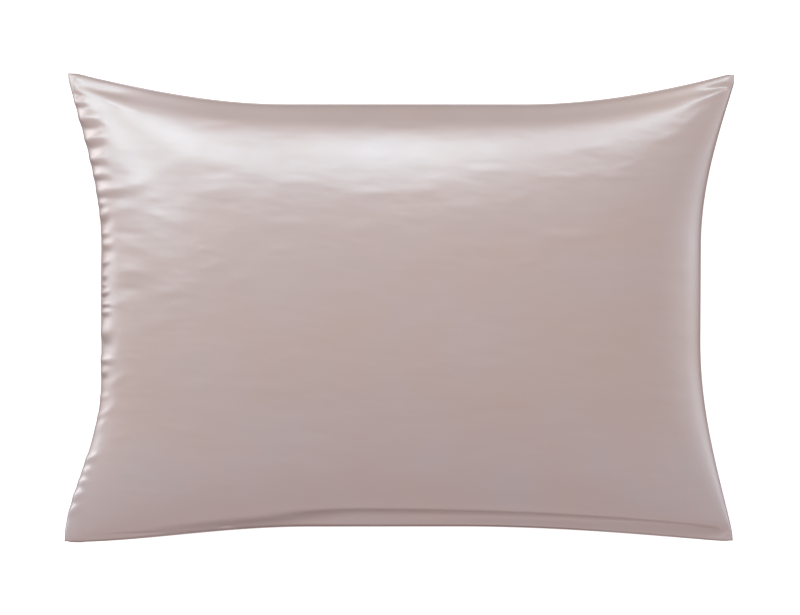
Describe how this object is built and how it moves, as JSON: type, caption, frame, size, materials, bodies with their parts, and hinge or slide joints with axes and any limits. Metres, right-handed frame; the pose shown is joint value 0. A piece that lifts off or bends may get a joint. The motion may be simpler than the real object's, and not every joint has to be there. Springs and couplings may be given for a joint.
{
  "type": "filled pillowcase",
  "caption": "Filled satin pillowcase lying on its back: crowned front, sides drawn in between pointed corners, small puckers along the seam at its open end.",
  "frame": {"origin": "middle of the case's outline, on the surface that the case rests on", "axes": "+X along the long sides, from the open end to the closed end; +Y towards the long side that is at the top of the picture; +Z out of the front panel"},
  "size_m": [0.7042, 0.4936, 0.1587],
  "materials": {
    "front_satin": "glossy satin, pale blush",
    "back_satin": "glossy satin, pale blush"
  },
  "bodies": {
    "root": {"front_panel_filled": "front_satin", "back_panel": "back_satin"}
  },
  "joints": []
}
